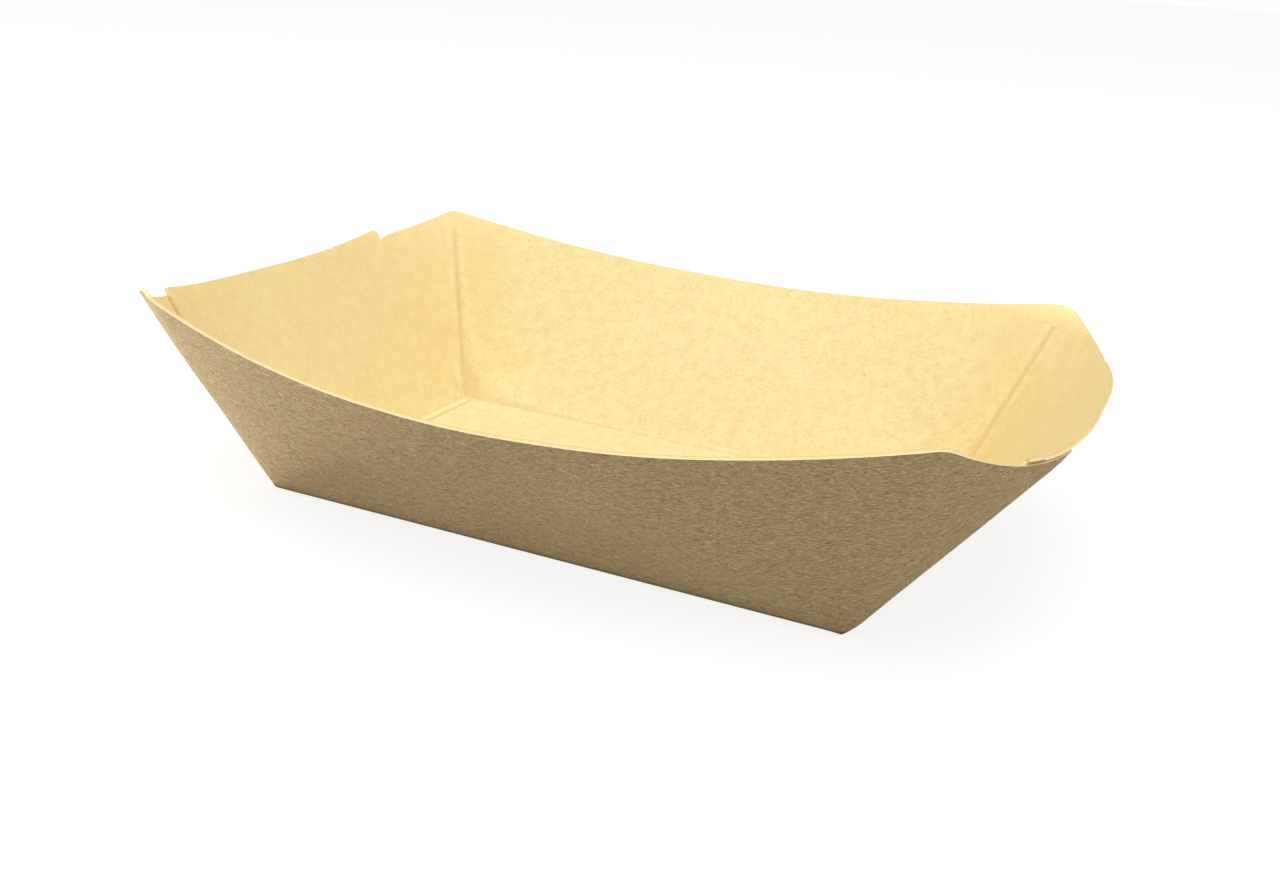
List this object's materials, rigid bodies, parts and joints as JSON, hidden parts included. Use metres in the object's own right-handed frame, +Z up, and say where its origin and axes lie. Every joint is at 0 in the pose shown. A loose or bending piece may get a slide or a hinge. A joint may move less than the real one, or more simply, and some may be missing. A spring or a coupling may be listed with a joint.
{
  "type": "paper food tray",
  "caption": "Open rectangular food tray folded from one sheet of kraft board, with flared bowed walls, dipped rims and lapped, glued ends.",
  "frame": {"origin": "underside of the floor, at its middle", "axes": "+X along the tray's long side, +Y across it, +Z up"},
  "size_m": [0.1332, 0.0954, 0.0309],
  "materials": {
    "kraft_board": "uncoated kraft paperboard, matt, pale and mottled inside, darker and fibrous outside"
  },
  "bodies": {
    "root": {"tray": "kraft_board"}
  },
  "joints": []
}
